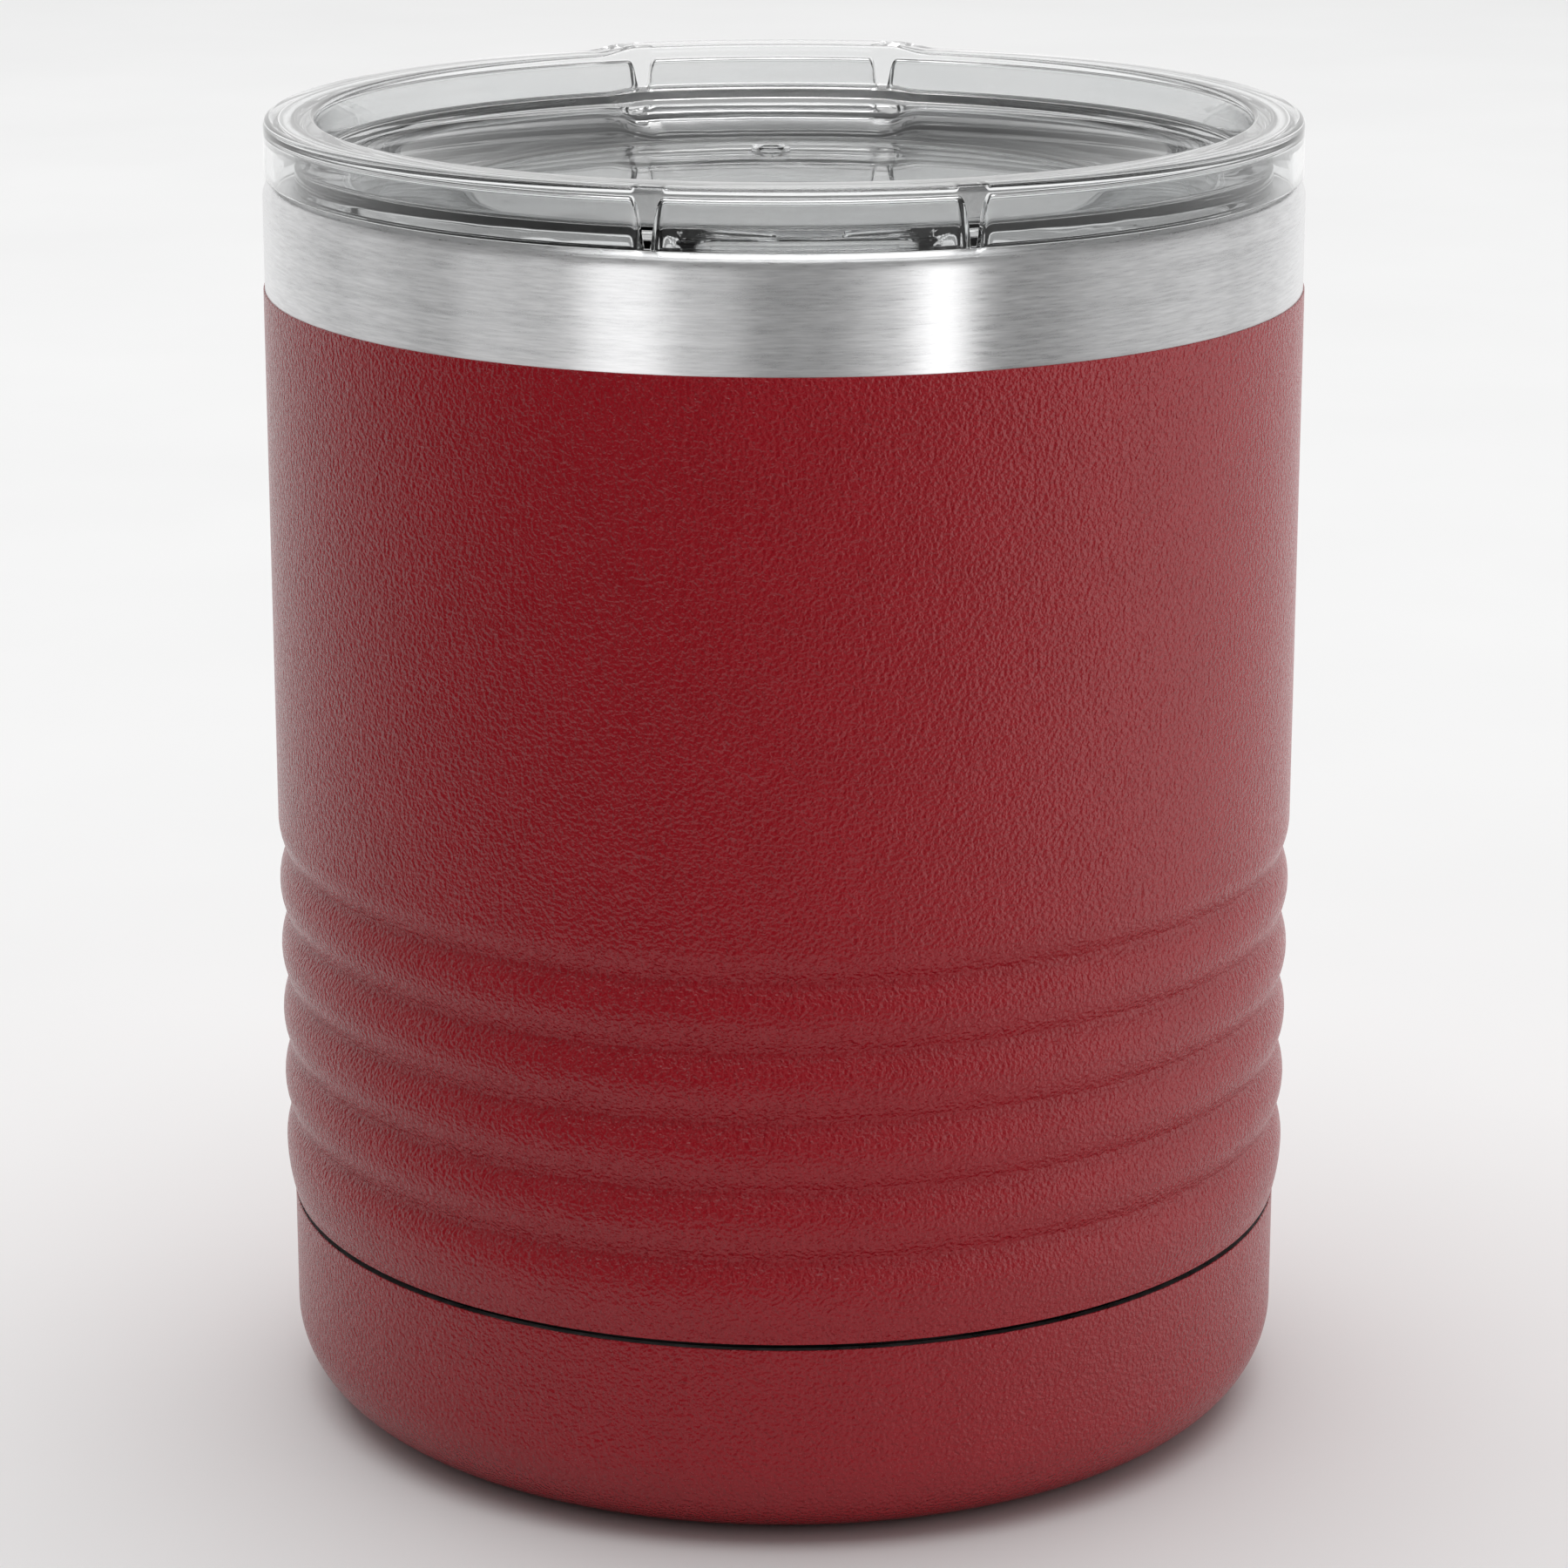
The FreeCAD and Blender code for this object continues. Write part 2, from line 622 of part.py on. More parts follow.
os.makedirs("parts", exist_ok=True)
for piece in pieces:
    piece.Shape.exportStep(f"parts/{piece.Label}.step")
    print(f"{piece.Label}: {piece.Shape.Volume:.1f} cubic mm")
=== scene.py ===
import math
import bmesh
import bpy
from mathutils import Matrix, Vector


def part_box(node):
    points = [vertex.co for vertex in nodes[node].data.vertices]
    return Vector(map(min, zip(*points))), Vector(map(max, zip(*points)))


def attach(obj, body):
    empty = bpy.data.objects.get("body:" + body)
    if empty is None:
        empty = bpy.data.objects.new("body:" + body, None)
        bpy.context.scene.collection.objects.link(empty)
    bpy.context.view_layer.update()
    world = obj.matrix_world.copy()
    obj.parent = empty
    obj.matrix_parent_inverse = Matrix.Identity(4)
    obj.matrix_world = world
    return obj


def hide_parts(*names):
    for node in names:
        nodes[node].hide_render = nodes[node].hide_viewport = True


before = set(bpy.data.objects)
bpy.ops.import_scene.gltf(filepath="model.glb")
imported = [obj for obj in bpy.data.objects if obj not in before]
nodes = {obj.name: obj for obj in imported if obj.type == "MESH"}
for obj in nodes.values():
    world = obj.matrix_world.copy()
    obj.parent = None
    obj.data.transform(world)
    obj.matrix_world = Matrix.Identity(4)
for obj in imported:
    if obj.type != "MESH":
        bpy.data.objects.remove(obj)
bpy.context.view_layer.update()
mm = 0.001
print("frame loaded,", len(nodes), "pieces")

# places that several pieces share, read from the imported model, in mm
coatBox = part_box("body_coat")
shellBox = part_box("outer_shell")
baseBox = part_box("base_coat")
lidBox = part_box("lid_body")
plan = {
    "bodyRadius": coatBox[1].x / mm,
    "paintLine": coatBox[1].z / mm,
    "seamTop": coatBox[0].z / mm,
    "lipHeight": shellBox[1].z / mm,
    "capRadius": baseBox[1].x / mm,
    "seamBottom": baseBox[1].z / mm,
    "lidRadius": lidBox[1].x / mm,
    "plugEnd": lidBox[0].z / mm,
}
turnSteps = 384


# a point list along an arc in the (radius, height) plane, turns in degrees
def arc(centre, radius, startTurn, endTurn, count=12):
    points = []
    for step in range(count + 1):
        turn = math.radians(startTurn + (endTurn - startTurn) * step / count)
        points.append((centre[0] + radius * math.cos(turn), centre[1] + radius * math.sin(turn)))
    return points


# a soft corner: leaves the straight run before it and joins the one after it
def soften(before, corner, after, size, count=5):
    points = []
    start = stepTowards(corner, before, size)
    end = stepTowards(corner, after, size)
    for step in range(count + 1):
        t = step / count
        points.append(tuple(
            (1 - t) ** 2 * a + 2 * t * (1 - t) * b + t * t * c
            for a, b, c in zip(start, corner, end)
        ))
    return points


def stepTowards(fromPoint, toPoint, size):
    length = math.dist(fromPoint, toPoint)
    share = min(size / length, 0.48)
    return tuple(a + (b - a) * share for a, b in zip(fromPoint, toPoint))


# turns a list of (radius, height, edge size) into plain points, with each sized corner softened
def finishOutline(corners, closed=True):
    points = []
    for index, corner in enumerate(corners):
        size = corner[2] if len(corner) > 2 else 0
        if size and (closed or 0 < index < len(corners) - 1):
            before = corners[index - 1][:2]
            after = corners[(index + 1) % len(corners)][:2]
            points += soften(before, corner[:2], after, size)
        else:
            points.append(corner[:2])
    return points


# makes a mesh from points and faces, with every face turned outwards, and puts it in the scene
def placeMesh(name, vertices, faces):
    mesh = bpy.data.meshes.new(name)
    mesh.from_pydata(vertices, [], faces)
    mesh.validate()
    work = bmesh.new()
    work.from_mesh(mesh)
    bmesh.ops.recalc_face_normals(work, faces=work.faces)
    work.to_mesh(mesh)
    work.free()
    piece = bpy.data.objects.new(name, mesh)
    bpy.context.scene.collection.objects.link(piece)
    return piece


# turns sections round Z into one closed mesh; every section has the same number of points
def turnMesh(name, sections, angles, closed=True):
    vertices = []
    rings = []
    rowCount = len(sections[0])
    for row in range(rowCount):
        if all(abs(section[row][0]) < 1e-6 for section in sections):
            vertices.append((0, 0, sections[0][row][1] * mm))
            rings.append([len(vertices) - 1] * len(angles))
            continue
        ring = []
        for section, angle in zip(sections, angles):
            radius, height = section[row]
            vertices.append((radius * math.sin(angle) * mm, -radius * math.cos(angle) * mm, height * mm))
            ring.append(len(vertices) - 1)
        rings.append(ring)
    faces = []
    pairs = list(zip(rings, rings[1:]))
    if closed:
        pairs.append((rings[-1], rings[0]))
    for upper, lower in pairs:
        for step in range(len(angles)):
            following = (step + 1) % len(angles)
            corners = [upper[step], upper[following], lower[following], lower[step]]
            face = []
            for corner in corners:
                if corner not in face:
                    face.append(corner)
            if len(face) > 2:
                faces.append(face)
    return placeMesh(name, vertices, faces)


def turnPiece(name, outline, steps=turnSteps):
    angles = [2 * math.pi * step / steps for step in range(steps)]
    return turnMesh(name, [outline] * steps, angles)


def shadeSmooth(piece, angle=35):
    piece.data.shade_smooth()
    piece.data.set_sharp_from_angle(angle=math.radians(angle))


# gives a finished piece its finish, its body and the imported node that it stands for
def settle(piece, material, body, node):
    piece.data.materials.clear()
    piece.data.materials.append(material)
    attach(piece, body)
    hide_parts(node)
    print("made", piece.name, "with", len(piece.data.polygons), "faces")


# small helpers for node trees
def startFinish(name, settings):
    material = bpy.data.materials.new(name)
    material.use_nodes = True
    tree = material.node_tree
    shader = tree.nodes["Principled BSDF"]
    for socket, setting in settings.items():
        shader.inputs[socket].default_value = setting
    return material, tree, shader


def addNode(tree, kind, settings=None, inputs=None):
    node = tree.nodes.new(kind)
    for key, setting in (settings or {}).items():
        setattr(node, key, setting)
    for key, setting in (inputs or {}).items():
        node.inputs[key].default_value = setting
    return node


def stretchedCoordinates(tree, scale):
    place = addNode(tree, "ShaderNodeTexCoord")
    mapping = addNode(tree, "ShaderNodeMapping", inputs={"Scale": scale})
    tree.links.new(place.outputs["Object"], mapping.inputs["Vector"])
    return mapping.outputs["Vector"]


def noiseFrom(tree, vector, scale, detail=2.0, roughness=0.5, distortion=0.0):
    noise = addNode(tree, "ShaderNodeTexNoise", inputs={
        "Scale": scale, "Detail": detail, "Roughness": roughness, "Distortion": distortion})
    tree.links.new(vector, noise.inputs["Vector"])
    return noise.outputs["Fac"]


# spreads a 0 to 1 pattern over another range of numbers
def spread(tree, pattern, low, high, fromLow=0.3, fromHigh=0.7):
    ranged = addNode(tree, "ShaderNodeMapRange", inputs={
        "From Min": fromLow, "From Max": fromHigh, "To Min": low, "To Max": high})
    tree.links.new(pattern, ranged.inputs["Value"])
    return ranged.outputs["Result"]


def blendColours(tree, pattern, stops):
    ramp = addNode(tree, "ShaderNodeValToRGB")
    elements = ramp.color_ramp.elements
    while len(elements) < len(stops):
        elements.new(0.5)
    for element, (place, colour) in zip(elements, stops):
        element.position = place
        element.color = (*colour, 1)
    tree.links.new(pattern, ramp.inputs["Fac"])
    return ramp.outputs["Color"]


def bumpFrom(tree, height, strength, distance, normal=None):
    bump = addNode(tree, "ShaderNodeBump", inputs={"Strength": strength, "Distance": distance})
    tree.links.new(height, bump.inputs["Height"])
    if normal:
        tree.links.new(normal, bump.inputs["Normal"])
    return bump.outputs["Normal"]


# maroon powder coat: a fine leathery skin with a soft gloss
powder = {
    "tones": [(0.25, (0.240, 0.0015, 0.0068)), (0.75, (0.260, 0.0019, 0.0080))],
    "roughness": (0.20, 0.28),
    "mottle": 190,
    "grain": 3000,  # noise cells to the metre, here and in the other finishes
    "grainDepth": 0.00026,
    "fineGrain": 5200,
    "fineDepth": 0.000010,
}


def makePowderFinish():
    material, tree, shader = startFinish("powderCoat", {"IOR": 1.5, "Specular IOR Level": 0.5})
    place = stretchedCoordinates(tree, (1, 1, 1))
    mottle = noiseFrom(tree, place, powder["mottle"], 4, 0.6)
    grain = noiseFrom(tree, place, powder["grain"], 1.5, 0.45, 0.2)
    fine = noiseFrom(tree, place, powder["fineGrain"], 2, 0.5)
    tree.links.new(blendColours(tree, mottle, powder["tones"]), shader.inputs["Base Color"])
    tree.links.new(spread(tree, fine, *powder["roughness"]), shader.inputs["Roughness"])
    skin = bumpFrom(tree, grain, 1.0, powder["grainDepth"])
    skin = bumpFrom(tree, fine, 1.0, powder["fineDepth"], skin)
    tree.links.new(skin, shader.inputs["Normal"])
    return material


# brushed steel: hair-fine lines that run round the band
brushed = {
    "tones": [(0.3, (0.52, 0.52, 0.525)), (0.7, (0.78, 0.78, 0.785))],
    "roughness": (0.24, 0.36),
    "anisotropic": 0.8,
    "lineSpacing": 5200,
    "lineLength": 420,
    "lineDepth": 0.000012,
    "broadSpacing": 900,
    "broadLength": 30,
    "broadShare": 0.3,
    # painted shade for the seam gap: the near-black tone of the neck and the height over which it fades out
    "paintedGapShade": (0.012, 0.010, 0.010),
    "paintedShadeFade": 0.3,
}


def makeBrushedFinish(name, paintedShadeBelow=None):
    material, tree, shader = startFinish(name, {
        "Metallic": 1.0, "Anisotropic": brushed["anisotropic"], "Anisotropic Rotation": 0.25})
    fineScale = (brushed["lineLength"], brushed["lineLength"], brushed["lineSpacing"])
    broadScale = (brushed["broadLength"], brushed["broadLength"], brushed["broadSpacing"])
    lines = noiseFrom(tree, stretchedCoordinates(tree, fineScale), 1, 3, 0.6)
    broad = noiseFrom(tree, stretchedCoordinates(tree, broadScale), 1, 2, 0.5)
    mixed = addNode(tree, "ShaderNodeMix", {"data_type": "FLOAT"}, {"Factor": brushed["broadShare"]})
    tree.links.new(lines, mixed.inputs["A"])
    tree.links.new(broad, mixed.inputs["B"])
    pattern = mixed.outputs["Result"]
    colour = blendColours(tree, pattern, brushed["tones"])
    if paintedShadeBelow is not None:
        # painted shade: below the seam top the neck is painted nearly black, standing in for the shade in
        # the gap between the coat and the base cap
        place = addNode(tree, "ShaderNodeTexCoord")
        parts = addNode(tree, "ShaderNodeSeparateXYZ")
        tree.links.new(place.outputs["Object"], parts.inputs["Vector"])
        level = addNode(tree, "ShaderNodeMapRange", inputs={
            "From Min": paintedShadeBelow * mm, "From Max": (paintedShadeBelow + brushed["paintedShadeFade"]) * mm})
        tree.links.new(parts.outputs["Z"], level.inputs["Value"])
        paintedGapShadeMix = addNode(tree, "ShaderNodeMix", {"data_type": "RGBA"})
        paintedGapShadeMix.inputs["A"].default_value = (*brushed["paintedGapShade"], 1)
        tree.links.new(level.outputs["Result"], paintedGapShadeMix.inputs["Factor"])
        tree.links.new(colour, paintedGapShadeMix.inputs["B"])
        colour = paintedGapShadeMix.outputs["Result"]
    tree.links.new(colour, shader.inputs["Base Color"])
    tree.links.new(spread(tree, pattern, *brushed["roughness"]), shader.inputs["Roughness"])
    tree.links.new(bumpFrom(tree, lines, 1.0, brushed["lineDepth"]), shader.inputs["Normal"])
    tangent = addNode(tree, "ShaderNodeTangent", {"direction_type": "RADIAL", "axis": "Z"})
    tree.links.new(tangent.outputs["Tangent"], shader.inputs["Tangent"])
    return material


# satin steel for the inside: a fine blasted speckle over a soft sheen
satin = {
    "tones": [(0.3, (0.48, 0.48, 0.485)), (0.7, (0.60, 0.60, 0.605))],
    "roughness": (0.30, 0.48),
    "speckle": 3600,
    "speckleDepth": 0.000012,
    "rolledLines": (25, 25, 700),
}


def makeSatinFinish():
    material, tree, shader = startFinish("satinSteel", {"Metallic": 1.0})
    place = stretchedCoordinates(tree, (1, 1, 1))
    speckle = noiseFrom(tree, place, satin["speckle"], 2, 0.6)
    rolled = noiseFrom(tree, stretchedCoordinates(tree, satin["rolledLines"]), 1, 3, 0.55)
    tree.links.new(blendColours(tree, rolled, satin["tones"]), shader.inputs["Base Color"])
    tree.links.new(spread(tree, speckle, *satin["roughness"]), shader.inputs["Roughness"])
    tree.links.new(bumpFrom(tree, speckle, 1.0, satin["speckleDepth"]), shader.inputs["Normal"])
    return material


# clear moulded plastic with the faint waves and specks of moulding
clear = {
    "tones": [(0.3, (0.90, 0.91, 0.912)), (0.7, (0.925, 0.93, 0.93))],
    "roughness": (0.0, 0.03),
    "flow": 55,
    "flowDepth": 0.00003,
    "speck": 1500,
}


def makeClearFinish():
    material, tree, shader = startFinish("clearPlastic", {"IOR": 1.55, "Transmission Weight": 1.0})
    flow = noiseFrom(tree, stretchedCoordinates(tree, (1, 1, 3)), clear["flow"], 2, 0.4, 0.8)
    specks = noiseFrom(tree, stretchedCoordinates(tree, (1, 1, 1)), clear["speck"], 3, 0.6)
    tree.links.new(blendColours(tree, flow, clear["tones"]), shader.inputs["Base Color"])
    tree.links.new(spread(tree, specks, *clear["roughness"], 0.55, 0.8), shader.inputs["Roughness"])
    tree.links.new(bumpFrom(tree, flow, 1.0, clear["flowDepth"]), shader.inputs["Normal"])
    return material


# milky silicone with a dull, slightly dimpled skin
silicone = {
    "tones": [(0.3, (0.80, 0.81, 0.80)), (0.7, (0.88, 0.89, 0.88))],
    "roughness": (0.28, 0.42),
    "skin": 900,
    "skinDepth": 0.00002,
}


def makeSiliconeFinish():
    material, tree, shader = startFinish("clearSilicone", {"IOR": 1.41, "Transmission Weight": 0.75})
    skin = noiseFrom(tree, stretchedCoordinates(tree, (1, 1, 1)), silicone["skin"], 3, 0.6)
    tree.links.new(blendColours(tree, skin, silicone["tones"]), shader.inputs["Base Color"])
    tree.links.new(spread(tree, skin, *silicone["roughness"]), shader.inputs["Roughness"])
    tree.links.new(bumpFrom(tree, skin, 1.0, silicone["skinDepth"]), shader.inputs["Normal"])
    return material


# plain finishes of the hidden pieces, each with its own grain
def makeGrainFinish(name, tones, roughness, grain, depth, metallic=0.0, squeeze=(1, 1, 1)):
    material, tree, shader = startFinish(name, {"Metallic": metallic})
    pattern = noiseFrom(tree, stretchedCoordinates(tree, squeeze), grain, 4, 0.6)
    tree.links.new(blendColours(tree, pattern, tones), shader.inputs["Base Color"])
    tree.links.new(spread(tree, pattern, *roughness), shader.inputs["Roughness"])
    tree.links.new(bumpFrom(tree, pattern, 1.0, depth), shader.inputs["Normal"])
    return material


powderFinish = makePowderFinish()
# the outer shell's steel gets painted shade below the seam top
brushedFinish = makeBrushedFinish("brushedSteel", plan["seamTop"])
baseSteelFinish = makeBrushedFinish("spunSteel")
satinFinish = makeSatinFinish()
clearFinish = makeClearFinish()
siliconeFinish = makeSiliconeFinish()
print("finishes ready")

# the rolled wall, shared by the coat and the steel under it
wall = {
    "ribPitch": 5.75,
    "ribDepth": 0.9,
    "ribCount": 5,
    "topGroove": 48.0,
    "valleySoftness": 5,  # degrees of each rib given up to the soft valley
    "coatThickness": 0.12,
    "coatGap": 0.01,  # hair of air between a coat and the steel under it
    "coatEdge": 0.07,
    "shellWall": 0.5,
}


# the wall from its straight part down to the seam; inset moves it in towards the axis
def ribbedWall(inset, bottom):
    pitch = wall["ribPitch"]
    ribRadius = pitch ** 2 / (8 * wall["ribDepth"]) + wall["ribDepth"] / 2
    ribCentre = plan["bodyRadius"] - ribRadius
    radius = ribRadius - inset
    halfTurn = math.degrees(math.asin(pitch / 2 / radius))
    reach = halfTurn - wall["valleySoftness"]
    valleyRadius = ribCentre + math.sqrt(radius ** 2 - (pitch / 2) ** 2)
    points = []
    for rib in range(wall["ribCount"] + 1):
        middle = wall["topGroove"] + pitch * (0.5 - rib)
        start = 0 if rib == 0 else reach
        last = rib == wall["ribCount"]
        end = 0 if last else -reach
        rows = arc((ribCentre, middle), radius, start, end, 10)
        if rib > 0:
            valley = (valleyRadius, middle + pitch / 2)
            points += softValley(points[-1], valley, rows[0])
        points += rows
    lastRib = wall["topGroove"] - pitch * (wall["ribCount"] - 0.5)
    drop = lastRib - plan["seamTop"]
    setIn = plan["bodyRadius"] - plan["capRadius"]
    taperRadius = (drop ** 2 + setIn ** 2) / (2 * setIn)
    endTurn = -math.degrees(math.asin((lastRib - bottom) / (taperRadius - inset)))
    points += arc((plan["bodyRadius"] - taperRadius, lastRib), taperRadius - inset, 0, endTurn, 10)[1:]
    return points


def softValley(start, valley, end, count=5):
    points = []
    for step in range(1, count):
        t = step / count
        points.append(tuple(
            (1 - t) ** 2 * a + 2 * t * (1 - t) * b + t * t * c for a, b, c in zip(start, valley, end)
        ))
    return points


def straightRun(radius, top, bottom, count=6):
    return [(radius, top + (bottom - top) * step / count) for step in range(count + 1)]


def makeBodyCoat():
    radius = plan["bodyRadius"]
    inset = wall["coatThickness"] - wall["coatGap"]
    edge = wall["coatEdge"]
    outside = ribbedWall(0, plan["seamTop"] + edge)
    inside = ribbedWall(inset, plan["seamTop"] + 2 * wall["coatGap"])
    outline = arc((radius - edge, plan["paintLine"] - edge), edge, 90, 0, 4)
    outline += straightRun(radius, plan["paintLine"] - edge, outside[0][1], 8)[1:-1]
    outline += outside
    lowRadius = outside[-1][0]
    outline += arc((lowRadius - edge, plan["seamTop"] + edge), edge, -10, -90, 4)
    outline += [(inside[-1][0], plan["seamTop"])]
    outline += inside[::-1]
    outline += [(radius - inset, plan["paintLine"])]
    piece = turnPiece("bodyCoat", outline)
    shadeSmooth(piece)
    settle(piece, powderFinish, "cup", "body_coat")


# steel of the outer shell, from the middle of the lip down to the neck inside the base cap
shell = {"neckRadius": 41.55, "neckEnd": 8.6, "mouthRadius": 39.8}


# the round lip that the two walls share: its centre as (radius, height), and its own radius
def lipShape():
    steel = plan["bodyRadius"] - wall["coatThickness"]
    lipRound = (steel - shell["mouthRadius"]) / 2
    middle = (steel + shell["mouthRadius"]) / 2
    return (middle, plan["lipHeight"] - lipRound), lipRound


def makeOuterShell():
    steel = plan["bodyRadius"] - wall["coatThickness"]
    thickness = wall["shellWall"]
    lipCentre, lipRound = lipShape()
    inset = wall["coatThickness"]
    outside = ribbedWall(inset, plan["seamTop"])
    ledge = plan["seamTop"] + thickness
    inside = ribbedWall(inset + thickness, ledge)
    neck = shell["neckRadius"]
    outline = arc(lipCentre, lipRound, 90, 0, 16)
    outline += straightRun(steel, lipCentre[1], outside[0][1], 10)[1:-1]
    outline += outside
    outline += [(neck, plan["seamTop"]), (neck, shell["neckEnd"]), (neck - thickness, shell["neckEnd"])]
    outline += [(neck - thickness, ledge)]
    outline += inside[::-1]
    outline += arc(lipCentre, lipRound - thickness, 0, 90, 12)
    piece = turnPiece("outerShell", outline)
    shadeSmooth(piece)
    settle(piece, brushedFinish, "cup", "outer_shell")


# the inner cup, with the step that the plug of the lid stops at
cup = {
    "shoulderTop": 94.5,
    "shoulderBottom": 93.1,
    "shoulderSoft": 0.3,  # how far the bends of the shoulder reach
    "bendDrop": 0.2,  # the bends sit lower on the hidden side of the wall
    "linerRadius": 38.4,
    "floor": 12.0,
    "corner": 9.0,
    "wall": 0.5,
}


def makeInnerCup():
    mouth = shell["mouthRadius"]
    thickness = cup["wall"]
    lipCentre, lipRound = lipShape()
    liner = cup["linerRadius"]
    cornerMiddle = liner - cup["corner"]
    cornerHeight = cup["floor"] + cup["corner"]
    high = cup["shoulderTop"]
    low = cup["shoulderBottom"]
    soft = cup["shoulderSoft"]
    outline = arc(lipCentre, lipRound, 90, 180, 16)
    outline += straightRun(mouth, lipCentre[1], high + soft + 0.1, 4)[1:]
    outline += softValley(outline[-1], (mouth, high), (mouth - soft, high - soft))
    outline += softValley((liner + soft, low + soft), (liner, low), (liner, low - soft - 0.1))
    outline += straightRun(liner, low - soft - 0.1, cornerHeight, 12)
    outline += arc((cornerMiddle, cornerHeight), cup["corner"], 0, -90, 20)[1:]
    outline += [(cornerMiddle * share, cup["floor"]) for share in (0.8, 0.6, 0.4, 0.2, 0.08, 0)]
    outline += [(0, cup["floor"] - thickness), (cornerMiddle, cup["floor"] - thickness)]
    outline += arc((cornerMiddle, cornerHeight), cup["corner"] + thickness, -90, 0, 20)[1:]
    outline += [(liner + thickness, low - cup["bendDrop"]), (mouth + thickness, high - cup["bendDrop"])]
    outline += arc(lipCentre, lipRound - thickness, 180, 90, 12)
    piece = turnPiece("innerCup", outline)
    shadeSmooth(piece)
    settle(piece, satinFinish, "cup", "inner_cup")


# the base cap, coated outside, with a bare recess inside its foot ring
base = {
    "corner": 7.5,
    "edge": 0.1,
    "footInner": 28.0,
    "footFlat": 2.5,  # first stretch of the flat foot, so that it is shaded evenly
    "footRise": 1.2,
    "footSoft": 0.5,
    "coat": 0.12,
    "wall": 0.6,
}


def makeBaseCoat():
    radius = plan["capRadius"]
    corner = base["corner"]
    middle = radius - corner
    edge = base["edge"]
    thickness = base["coat"] - wall["coatGap"]
    outline = arc((radius - edge, plan["seamBottom"] - edge), edge, 90, 0, 5)
    outline += straightRun(radius, plan["seamBottom"] - edge, corner, 8)[1:]
    outline += arc((middle, corner), corner, 0, -90, 32)[1:]
    outline += [(middle - base["footFlat"], 0), (base["footInner"] + edge, 0)]
    outline += [(base["footInner"], thickness)]
    outline += arc((middle, corner), corner - thickness, -90, 0, 32)
    outline += [(radius - thickness, plan["seamBottom"])]
    piece = turnPiece("baseCoat", outline)
    shadeSmooth(piece)
    settle(piece, powderFinish, "cup", "base_coat")


def makeBaseCap():
    steel = plan["capRadius"] - base["coat"]
    thickness = base["wall"]
    corner = base["corner"] - base["coat"]
    middle = plan["capRadius"] - base["corner"]
    low = base["coat"]
    footInner = base["footInner"]
    rise = base["footRise"]
    bend = thickness * math.tan(math.radians(22.5))
    outline = [(steel, plan["seamBottom"])]
    outline += arc((middle, base["corner"]), corner, 0, -90, 24)
    soft = base["footSoft"]
    outline += soften((middle, low), (footInner, low), (footInner - rise, low + rise), soft)
    outline += soften((footInner, low), (footInner - rise, low + rise), (0, low + rise), soft)
    outline += [((footInner - rise) * share, low + rise) for share in (0.8, 0.6, 0.4, 0.2, 0.08, 0)]
    outline += [(0, low + rise + thickness), (footInner - rise + bend, low + rise + thickness)]
    outline += [(footInner + bend, low + thickness)]
    outline += arc((middle, base["corner"]), corner - thickness, -90, 0, 24)
    outline += [(steel - thickness, plan["seamBottom"])]
    piece = turnPiece("baseCap", outline)
    shadeSmooth(piece)
    settle(piece, baseSteelFinish, "cup", "base_cap")


makeBodyCoat()
makeOuterShell()
makeInnerCup()
makeBaseCoat()
makeBaseCap()

# the clear lid; heights are measured from the lip unless they say otherwise
lid = {
    "top": 4.9,
    "seat": 0.05,
    "flangeRound": 0.6,
    "recessTop": 38.5,
    "recessBottom": 37.9,
    "ledge": 1.5,
    "floor": -1.7,
    "floorRadius": 28.0,
    "floorWall": 1.5,
    "floorSoft": 0.9,  # rounding of the bends and edges, here and below
    "ledgeSoft": 0.45,
    "rimSoft": 0.4,
    "skirtEdge": 0.3,
    "cavityInner": 39.9,
    "skirtWall": 1.2,
    "cavityTop": 4.0,
    "cavitySoft": 0.5,
    "cavityEdge": 0.15,
    "cavityDraft": 0.03,  # the cavity narrows this much towards its roof, on each side
    "plugRadius": 39.4,
    "plugInside": 37.8,
    "plugEdge": 0.25,
    "plugInsideEdge": 0.4,
    "underSoft": 0.6,
    "grooveTop": -4.5,
    "grooveBottom": -7.7,
    "grooveRadius": 38.3,
    "grooveEdge": 0.12,
    "frontRib": 17.2,  # degrees from the front to each rib across the flange's cavity
    "backRib": 15.8,
    "ribHalf": 0.5,
    "ribFlare": 1.5,  # degrees over which the cavity rises beside a rib
    "tabRise": 0.5,
    "tabHalf": 17.0,
    "tabRun": 5.0,
    "slotPlace": -32.0,
    "slotLength": 18.0,
    "slotWidth": 6.0,
    "slotSoft": 0.45,  # rounding of the opening's edges
    "ventPlace": 22.5,
    "ventRadius": 1.0,
    "ventRing": 1.7,
    "ventRise": 0.35,
    "ventRingSoft": 0.25,
    "ventRingSink": 0.5,  # how deep the raised ring starts inside the floor
    "ventSoft": 0.2,
}


def smoothShare(place, start, end):
    t = min(max((place - start) / (end - start), 0), 1)
    return t * t * (3 - 2 * t)


# the floor slopes up from its flat middle to the ledge
def coneSlope():
    return (lid["ledge"] - lid["floor"]) / (lid["recessBottom"] - lid["floorRadius"])


# upright thickness of the sloping floor
def coneWall():
    return lid["floorWall"] * math.sqrt(1 + coneSlope() ** 2)


# rises fast from a rib and rounds off under the roof
def riseShare(t):
    t = min(max(t, 0), 1)
    return 1 - (1 - t) ** 3


